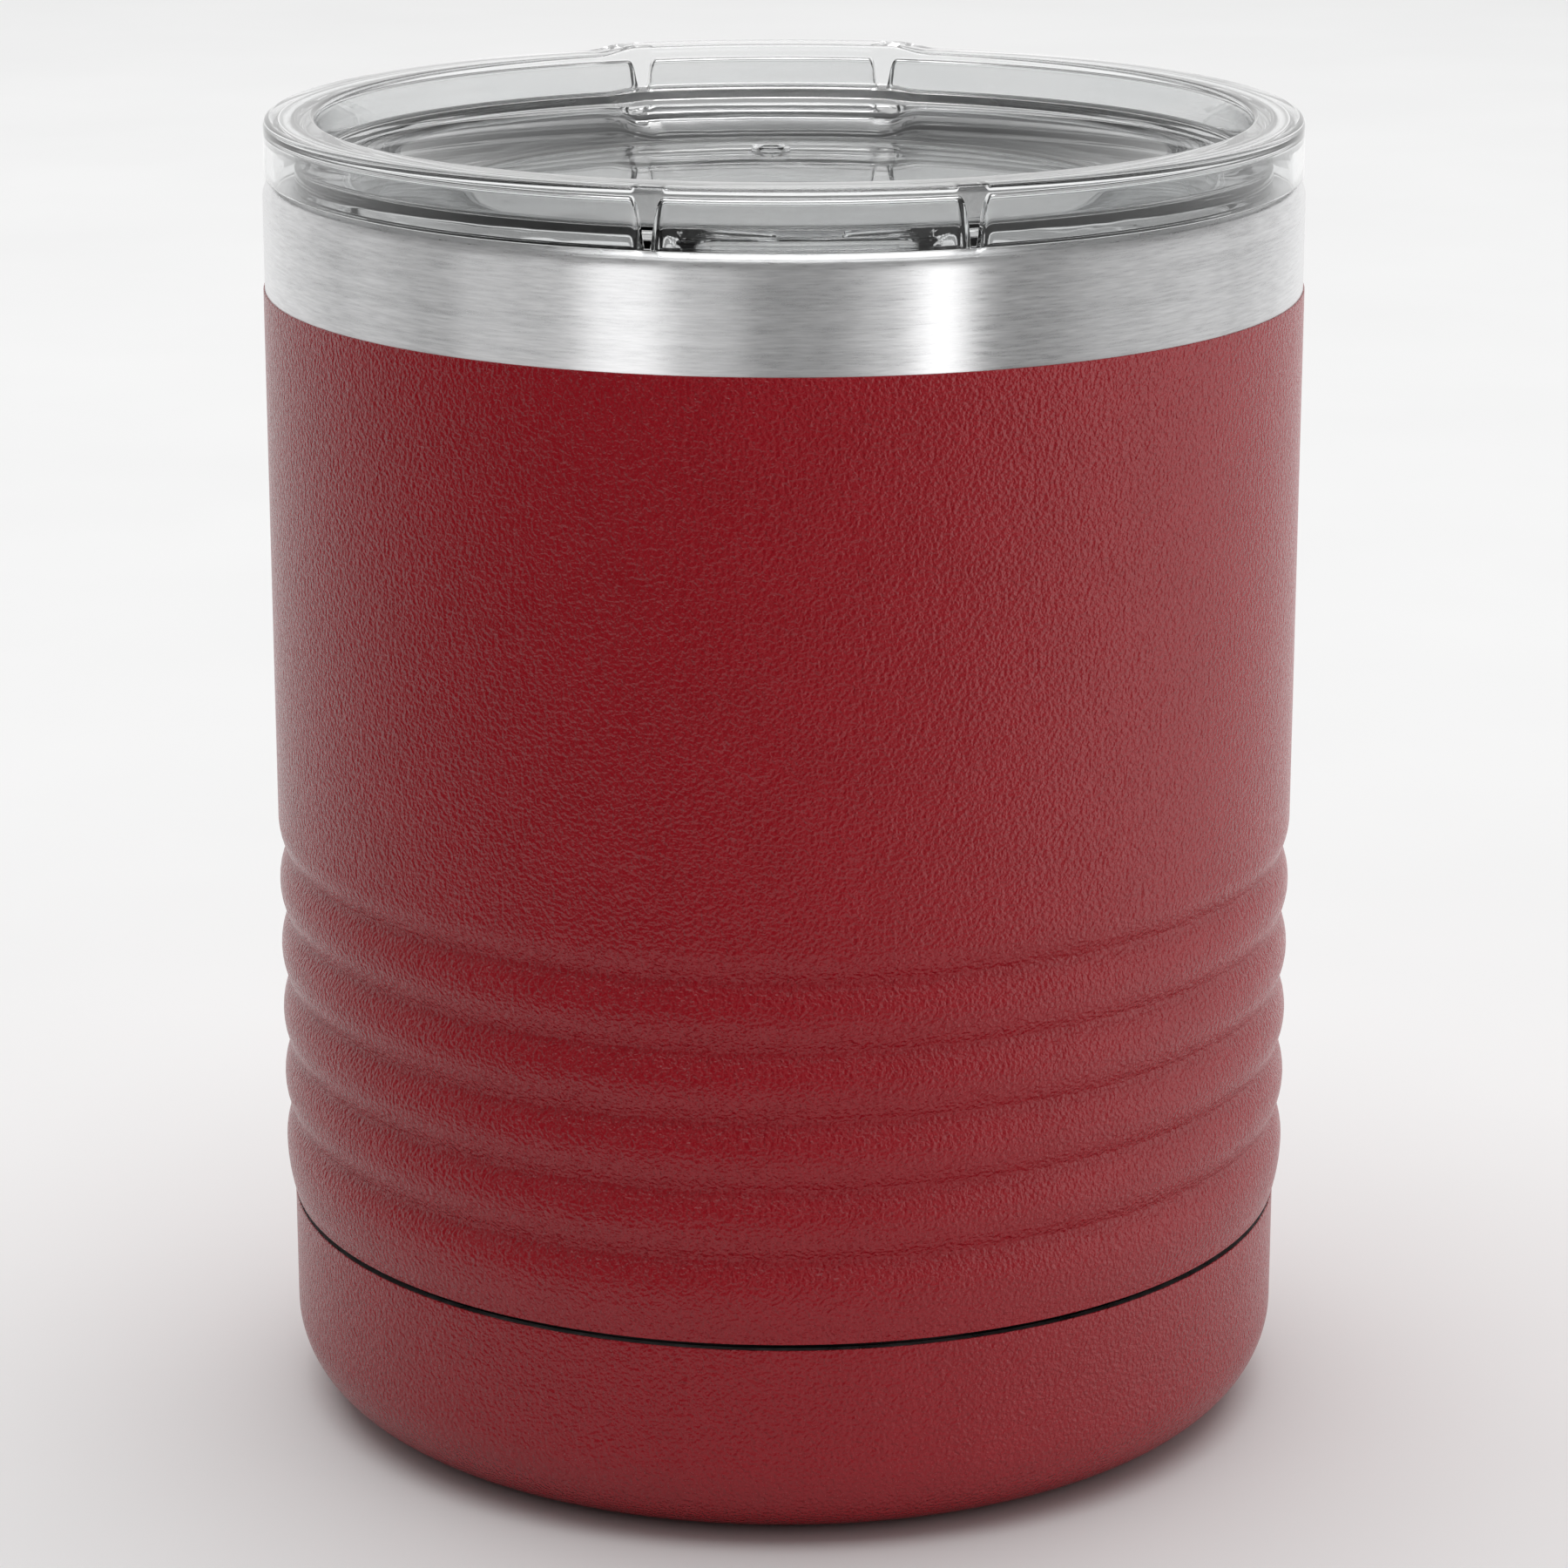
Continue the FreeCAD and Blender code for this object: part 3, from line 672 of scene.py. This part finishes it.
# the section of the lid at one angle from the front, in degrees
def lidSection(turn):
    lip = plan["lipHeight"]
    fromFront = min(turn, 360 - turn)
    fromBack = abs(turn - 180)
    fromRib = abs(fromFront - lid["frontRib"] if fromFront < 90 else fromBack - lid["backRib"])
    opened = riseShare((fromRib - lid["ribHalf"]) / lid["ribFlare"])
    cavityOuter = plan["lidRadius"] - lid["skirtWall"]
    raised = lid["tabRise"] * (1 - smoothShare(fromBack, lid["tabHalf"], lid["tabHalf"] + lid["tabRun"]))
    under = lid["floor"] - coneWall() + coneSlope() * (lid["plugInside"] - lid["floorRadius"])
    top = lid["top"] + raised
    ledge = lid["ledge"] + raised
    outer = plan["lidRadius"]
    flangeRound = lid["flangeRound"]
    points = [(lid["floorRadius"] * share, lid["floor"]) for share in (0, 0.1, 0.3, 0.5, 0.7, 0.9)]
    above = finishOutline([
        (lid["floorRadius"] * 0.9, lid["floor"]),
        (lid["floorRadius"], lid["floor"], lid["floorSoft"]),
        (lid["recessBottom"], ledge, lid["ledgeSoft"]),
        (lid["recessTop"], top, lid["rimSoft"]),
        (outer - flangeRound, top),
    ], closed=False)[1:]
    points += above
    points += arc((outer - flangeRound, top - flangeRound), flangeRound, 90, 0, 8)[1:]
    seat = lid["seat"]
    points += [(outer, top - 2), (outer, seat + 1)]
    points += soften((outer, top), (outer, seat), (cavityOuter, seat), lid["skirtEdge"])
    cavity = finishOutline([
        (cavityOuter + 0.4, seat),
        (cavityOuter, seat, lid["cavityEdge"]),
        (cavityOuter - lid["cavityDraft"], lid["cavityTop"], lid["cavitySoft"]),
        (lid["cavityInner"] + lid["cavityDraft"], lid["cavityTop"], lid["cavitySoft"]),
        (lid["cavityInner"], seat, lid["cavityEdge"]),
        (lid["plugRadius"] + 0.2, seat),
    ], closed=False)
    for step, (radius, height) in enumerate(cavity):
        share = step / (len(cavity) - 1)
        flatRadius = cavity[0][0] + (cavity[-1][0] - cavity[0][0]) * share
        points.append((flatRadius + (radius - flatRadius) * opened, seat + (height - seat) * opened))
    points += finishOutline([
        (lid["plugRadius"] + 0.2, seat),
        (lid["plugRadius"], seat - 0.05),
        (lid["plugRadius"], lid["grooveTop"], lid["grooveEdge"]),
        (lid["grooveRadius"], lid["grooveTop"]),
        (lid["grooveRadius"], lid["grooveBottom"]),
        (lid["plugRadius"], lid["grooveBottom"], lid["grooveEdge"]),
        (lid["plugRadius"], plan["plugEnd"] - lip, lid["plugEdge"]),
        (lid["plugInside"], plan["plugEnd"] - lip, lid["plugInsideEdge"]),
        (lid["plugInside"], under, lid["underSoft"]),
        (lid["floorRadius"], lid["floor"] - lid["floorWall"], lid["floorSoft"]),
        (lid["floorRadius"] * 0.6, lid["floor"] - lid["floorWall"]),
    ], closed=False)[1:]
    points += [(lid["floorRadius"] * share, lid["floor"] - lid["floorWall"]) for share in (0.3, 0.1, 0)]
    return [(radius, height + lip) for radius, height in points]


# angles round the lid, closer together at the ribs
def lidAngles():
    turns = set(round(step * 360 / turnSteps, 4) for step in range(turnSteps))
    reach = lid["ribHalf"] + lid["ribFlare"]
    ribSteps = 14
    closest = 0.06  # angles nearer than this are left out
    for middle, away in ((0, lid["frontRib"]), (180, lid["backRib"])):
        for side in (-1, 1):
            rib = middle + side * away
            for step in range(-ribSteps, ribSteps + 1):
                turns.add(round((rib + step * reach / ribSteps) % 360, 4))
    ordered = sorted(turns)
    gaps = [turn - before for before, turn in zip(ordered, ordered[1:])]
    return ordered[:1] + [turn for turn, gap in zip(ordered[1:], gaps) if gap > closest]


def coneHeight(x, y):
    beyond = max(math.hypot(x, y) - lid["floorRadius"], 0)
    return plan["lipHeight"] + lid["floor"] + coneSlope() * beyond


# a cutter that follows the surface it cuts, with flared ends that leave soft edges
def makeCutter(name, outlineAt, middle, thickness, flare, ringRise=0.0):
    overrun = 2.0  # how far the cutter stands out of the floor, above and below
    levels = []
    for share in (0.0, 0.25, 0.5, 0.75, 1.0):
        turn = math.radians(90 * share)
        levels.append((flare * (1 - math.sin(turn)), ringRise - flare * (1 - math.cos(turn))))
    rings = [(flare, ringRise + overrun)] + levels
    rings += [(grow, -thickness - (rise - ringRise)) for grow, rise in levels[::-1]]
    rings += [(flare, -thickness - overrun)]
    vertices = []
    count = len(outlineAt(0))
    for grow, rise in rings:
        for x, y in outlineAt(grow):
            vertices.append((x * mm, y * mm, (coneHeight(x, y) + rise) * mm))
    faces = []
    for level in range(len(rings) - 1):
        for step in range(count):
            following = (step + 1) % count
            faces.append([level * count + step, level * count + following,
                          (level + 1) * count + following, (level + 1) * count + step])
    for level in (0, len(rings) - 1):
        z = (coneHeight(*middle) + rings[level][1]) * mm
        vertices.append((middle[0] * mm, middle[1] * mm, z))
        hub = len(vertices) - 1
        for step in range(count):
            following = (step + 1) % count
            faces.append([level * count + step, level * count + following, hub])
    return placeMesh(name, vertices, faces)


def slotOutline(grow):
    straight = (lid["slotLength"] - lid["slotWidth"]) / 2
    radius = lid["slotWidth"] / 2 + grow
    points = []
    for middle, start in ((straight, -90), (-straight, 90)):
        for step in range(25):
            turn = math.radians(start + 180 * step / 24)
            points.append((middle + radius * math.cos(turn), lid["slotPlace"] + radius * math.sin(turn)))
    return points


def ventOutline(grow):
    radius = lid["ventRadius"] + grow
    turns = [2 * math.pi * step / 48 for step in range(48)]
    return [(radius * math.cos(turn), lid["ventPlace"] + radius * math.sin(turn)) for turn in turns]


def applyBoolean(piece, tool, operation):
    modifier = piece.modifiers.new(operation.lower(), "BOOLEAN")
    modifier.operation = operation
    modifier.solver = "EXACT"
    modifier.object = tool
    bpy.context.view_layer.update()
    finished = bpy.data.meshes.new_from_object(piece.evaluated_get(bpy.context.evaluated_depsgraph_get()))
    piece.modifiers.clear()
    piece.data = finished
    bpy.data.objects.remove(tool)


def makeVentRing():
    floor = plan["lipHeight"] + lid["floor"]
    ring = lid["ventRing"]
    top = floor + lid["ventRise"]
    low = floor - lid["ventRingSink"]
    soft = lid["ventRingSoft"]
    outline = [(0, low), (0, top), (ring * 0.5, top)]
    outline += arc((ring - soft, top - soft), soft, 90, 0, 5)
    outline += [(ring, low)]
    piece = turnPiece("ventRing", outline, 48)
    piece.data.transform(Matrix.Translation((0, lid["ventPlace"] * mm, 0)))
    return piece


def makeLid():
    turns = lidAngles()
    sections = [lidSection(turn) for turn in turns]
    piece = turnMesh("lidBody", sections, [math.radians(turn) for turn in turns], closed=False)
    applyBoolean(piece, makeVentRing(), "UNION")
    slotMiddle = (0, lid["slotPlace"])
    ventMiddle = (0, lid["ventPlace"])
    slot = makeCutter("slotCutter", slotOutline, slotMiddle, coneWall(), lid["slotSoft"])
    applyBoolean(piece, slot, "DIFFERENCE")
    vent = makeCutter("ventCutter", ventOutline, ventMiddle, lid["floorWall"], lid["ventSoft"],
                      lid["ventRise"])
    applyBoolean(piece, vent, "DIFFERENCE")
    shadeSmooth(piece, 40)
    settle(piece, clearFinish, "lid", "lid_body")


# the soft ring round the plug, with its two sealing lips
gasket = {
    "inside": 38.4,
    "outside": 39.7,
    "drop": 4.6,
    "height": 3.0,
    "lipHeight": 0.9,
    "edge": 0.1,
    "lipEdge": 0.12,
}


def makeGasket():
    top = plan["lipHeight"] - gasket["drop"]
    bottom = top - gasket["height"]
    root = (gasket["inside"] + gasket["outside"]) / 2
    half = gasket["lipHeight"] / 2
    edge = gasket["edge"]
    outline = finishOutline([
        (gasket["inside"], bottom, edge),
        (root, bottom, edge),
        (gasket["outside"], bottom + half, gasket["lipEdge"]),
        (root, bottom + half * 2, edge),
        (root, top - half * 2, edge),
        (gasket["outside"], top - half, gasket["lipEdge"]),
        (root, top, edge),
        (gasket["inside"], top, edge),
    ])
    piece = turnPiece("lidGasket", outline)
    shadeSmooth(piece, 60)
    settle(piece, siliconeFinish, "gasket", "lid_gasket")


makeLid()
makeGasket()

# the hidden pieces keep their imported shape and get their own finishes
hidden = {
    "vacuum_base": {
        "name": "drawnSteel", "tones": [(0.3, (0.42, 0.41, 0.40)), (0.7, (0.58, 0.57, 0.56))],
        "roughness": (0.3, 0.45), "grain": 1, "depth": 0.00001, "metallic": 1.0, "squeeze": (40, 40, 40)},
    "port_seal": {
        "name": "solderGlass", "tones": [(0.3, (0.05, 0.055, 0.06)), (0.7, (0.11, 0.115, 0.12))],
        "roughness": (0.12, 0.25), "grain": 1400, "depth": 0.00001},
    "getter": {
        "name": "pressedGetter", "tones": [(0.3, (0.13, 0.13, 0.135)), (0.7, (0.25, 0.245, 0.24))],
        "roughness": (0.6, 0.8), "grain": 3000, "depth": 0.00003, "metallic": 0.6},
    "getter_clip": {
        "name": "stripSteel", "tones": [(0.3, (0.5, 0.49, 0.48)), (0.7, (0.64, 0.63, 0.62))],
        "roughness": (0.25, 0.4), "grain": 1, "depth": 0.000005, "metallic": 1.0, "squeeze": (60, 4000, 60)},
    "radiation_foil": {
        "name": "copperFoil", "tones": [(0.3, (0.78, 0.36, 0.22)), (0.7, (0.90, 0.48, 0.31))],
        "roughness": (0.18, 0.32), "grain": 160, "depth": 0.00008, "metallic": 1.0},
    "cap_adhesive": {
        "name": "amberAdhesive", "tones": [(0.3, (0.55, 0.42, 0.20)), (0.7, (0.68, 0.55, 0.30))],
        "roughness": (0.35, 0.55), "grain": 500, "depth": 0.00005},
}
for nodeName, settings in hidden.items():
    node = nodes[nodeName]
    node.data.materials.clear()
    node.data.materials.append(makeGrainFinish(**settings))
print("hidden pieces finished")

# a plain pale floor: a near disc that the gloss of the wall sees, and a far ring that it does not
floorSet = {
    "nearRadius": 0.135,
    "farRadius": 6.0,
    "steps": 128,
    "tones": [(0.3, (0.86, 0.86, 0.86)), (0.7, (0.885, 0.885, 0.885))],
    "roughness": 0.9,
}


def makeFloorRing(name, innerRadius, outerRadius):
    turns = [2 * math.pi * step / floorSet["steps"] for step in range(floorSet["steps"])]
    sides = [(step, (step + 1) % len(turns)) for step in range(len(turns))]
    vertices = [(outerRadius * math.cos(turn), outerRadius * math.sin(turn), 0) for turn in turns]
    if innerRadius:
        vertices += [(innerRadius * math.cos(turn), innerRadius * math.sin(turn), 0) for turn in turns]
        faces = [(first, second, len(turns) + second, len(turns) + first) for first, second in sides]
    else:
        vertices.append((0, 0, 0))
        faces = [(first, second, len(turns)) for first, second in sides]
    mesh = bpy.data.meshes.new(name)
    mesh.from_pydata(vertices, [], faces)
    floor = bpy.data.objects.new(name, mesh)
    bpy.context.scene.collection.objects.link(floor)
    return floor


def makeFloorFinish():
    settings = {"Roughness": floorSet["roughness"], "Specular IOR Level": 0.1}
    material, tree, shader = startFinish("paleFloor", settings)
    pattern = noiseFrom(tree, stretchedCoordinates(tree, (1, 1, 1)), 12, 3, 0.5)
    tree.links.new(blendColours(tree, pattern, floorSet["tones"]), shader.inputs["Base Color"])
    return material


floorFinish = makeFloorFinish()
nearFloor = makeFloorRing("nearFloor", 0, floorSet["nearRadius"])
farFloor = makeFloorRing("farFloor", floorSet["nearRadius"], floorSet["farRadius"])
farFloor.visible_glossy = False
farFloor.visible_shadow = False
for floor in (nearFloor, farFloor):
    floor.data.materials.append(floorFinish)
print("floor laid")

# the studio round the object, by angle from the front: -180 to 180 degrees, positive to the right
studio = {
    "strength": 1.0,
    "bands": [
        (-180, 1.05), (-150, 0.95), (-127, 0.80), (-104, 0.50), (-85, 0.30), (-69, 0.10), (-55, 0.03),
        (-28, 0.02), (-12, 0.08), (0, 0.12), (22, 0.20), (34, 0.30), (48, 0.35), (62, 0.42), (77, 0.50),
        (94, 0.60), (114, 0.75), (138, 0.95), (155, 1.05), (180, 1.05),
    ],
    "ceiling": 0.36,
    "ceilingFade": (0.3, 0.62),  # from here to here, straight up being 1
}


def makeStudioWorld():
    world = bpy.data.worlds.new("studio")
    bpy.context.scene.world = world
    world.use_nodes = True
    tree = world.node_tree
    background = tree.nodes["Background"]
    place = addNode(tree, "ShaderNodeTexCoord")
    parts = addNode(tree, "ShaderNodeSeparateXYZ")
    tree.links.new(place.outputs["Generated"], parts.inputs["Vector"])
    backwards = addNode(tree, "ShaderNodeMath", {"operation": "MULTIPLY"}, {1: -1.0})
    tree.links.new(parts.outputs["Y"], backwards.inputs[0])
    turn = addNode(tree, "ShaderNodeMath", {"operation": "ARCTAN2"})
    tree.links.new(parts.outputs["X"], turn.inputs[0])
    tree.links.new(backwards.outputs[0], turn.inputs[1])
    share = spread(tree, turn.outputs[0], 0.0, 1.0, -math.pi, math.pi)
    stops = [((angle + 180) / 360, (level, level, level)) for angle, level in studio["bands"]]
    around = blendColours(tree, share, stops)
    # overhead the bands fade into an even, soft ceiling
    upward = spread(tree, parts.outputs["Z"], 0.0, 1.0, *studio["ceilingFade"])
    mixed = addNode(tree, "ShaderNodeMix", {"data_type": "RGBA"})
    level = studio["ceiling"]
    mixed.inputs["B"].default_value = (level, level, level, 1)
    tree.links.new(upward, mixed.inputs["Factor"])
    tree.links.new(around, mixed.inputs["A"])
    tree.links.new(mixed.outputs["Result"], background.inputs["Color"])
    background.inputs["Strength"].default_value = studio["strength"]


# lamps stand round the object: angle from the front in degrees, the rest in metres;
# glow is the brightness of the lamp's face, and a lamp with a list lights only those pieces
steelPieces = ["outerShell", "baseCap"]
coatPieces = ["bodyCoat", "baseCoat"]
lamps = {
    "stripRight": {"angle": 31, "distance": 1.0, "height": 0.0, "size": (0.20, 1.5), "glow": 1.35,
                   "lights": steelPieces},
    "stripLeft": {"angle": -37, "distance": 1.0, "height": 0.0, "size": (0.32, 1.5), "glow": 0.85,
                  "lights": steelPieces},
    "softLeft": {"angle": -44, "distance": 1.1, "height": 0.0, "size": (1.4, 1.5), "glow": 0.42,
                 "lights": steelPieces},
    "softRight": {"angle": 23, "distance": 1.1, "height": 0.0, "size": (0.4, 1.5), "glow": 0.3,
                  "lights": steelPieces},
    "sideRight": {"angle": 84, "distance": 1.1, "height": 0.0, "size": (0.9, 1.5), "glow": 0.16,
                  "lights": steelPieces},
    "frontFill": {"angle": -4, "distance": 1.4, "height": 0.0, "size": (2.4, 1.5), "glow": 0.28,
                  "lights": steelPieces},
    "leftFill": {"angle": -78, "distance": 1.2, "height": 0.0, "size": (1.5, 1.5), "glow": 0.24,
                 "lights": steelPieces},
    "cupLight": {"angle": 0, "distance": 0.05, "height": 1.0, "size": (0.7, 0.7), "glow": 3.0,
                 "lights": ["innerCup", "lidBody", "lidGasket"]},
    "rightWall": {"angle": 78, "distance": 1.2, "height": 0.1, "size": (1.3, 1.6), "glow": 0.75,
                  "lights": coatPieces},
    "frontSoft": {"angle": 14, "distance": 1.2, "height": 0.5, "size": (1.0, 0.8), "glow": 1.9,
                  "lights": coatPieces, "gloss": False},
    "overhead": {"angle": 180, "distance": 0.3, "height": 1.6, "size": (2.4, 2.4), "glow": 1.6,
                 "lights": coatPieces + ["nearFloor", "farFloor"]},
}


lampAim = 0.06  # height on the object's axis that every lamp faces


def makeLamp(name, settings):
    light = bpy.data.lights.new(name, "AREA")
    light.shape = "RECTANGLE"
    light.size, light.size_y = settings["size"]
    light.energy = settings["glow"] * math.pi * light.size * light.size_y
    turn = math.radians(settings["angle"])
    away = settings["distance"]
    place = Vector((away * math.sin(turn), -away * math.cos(turn), settings["height"]))
    lamp = bpy.data.objects.new(name, light)
    lamp.location = place
    aim = Vector((0, 0, lampAim)) - place
    lamp.rotation_euler = aim.to_track_quat("-Z", "Y").to_euler()
    bpy.context.scene.collection.objects.link(lamp)
    if "lights" in settings:
        group = bpy.data.collections.new(name + "Lights")
        for pieceName in settings["lights"]:
            group.objects.link(bpy.data.objects[pieceName])
        lamp.light_linking.receiver_collection = group
    lamp.visible_glossy = settings.get("gloss", True)


makeStudioWorld()
for lampName, lampSettings in lamps.items():
    makeLamp(lampName, lampSettings)
bpy.context.scene.view_settings.view_transform = "Standard"
bpy.context.scene.cycles.max_bounces = 32  # light runs a long way inside the clear lid
bpy.context.scene.cycles.transmission_bounces = 32
bpy.context.scene.cycles.glossy_bounces = 8
print("studio lit")

# the camera stands in front, a little above the lid, turned slightly past the drinking side
cameraSet = {"distance": 0.4093, "height": 0.1668, "angle": -2.9, "pitch": 15.64, "lens": 114.3}


def makeCamera():
    data = bpy.data.cameras.new("camera")
    data.sensor_width = 36
    data.lens = cameraSet["lens"]
    data.clip_start = 0.01
    camera = bpy.data.objects.new("camera", data)
    turn = math.radians(cameraSet["angle"])
    away = cameraSet["distance"]
    place = Matrix.Translation((away * math.sin(turn), -away * math.cos(turn), cameraSet["height"]))
    heading = Matrix.Rotation(turn, 4, "Z")
    tilt = Matrix.Rotation(math.radians(90 - cameraSet["pitch"]), 4, "X")
    camera.matrix_world = place @ heading @ tilt
    bpy.context.scene.collection.objects.link(camera)
    bpy.context.scene.camera = camera


makeCamera()
bpy.context.view_layer.update()
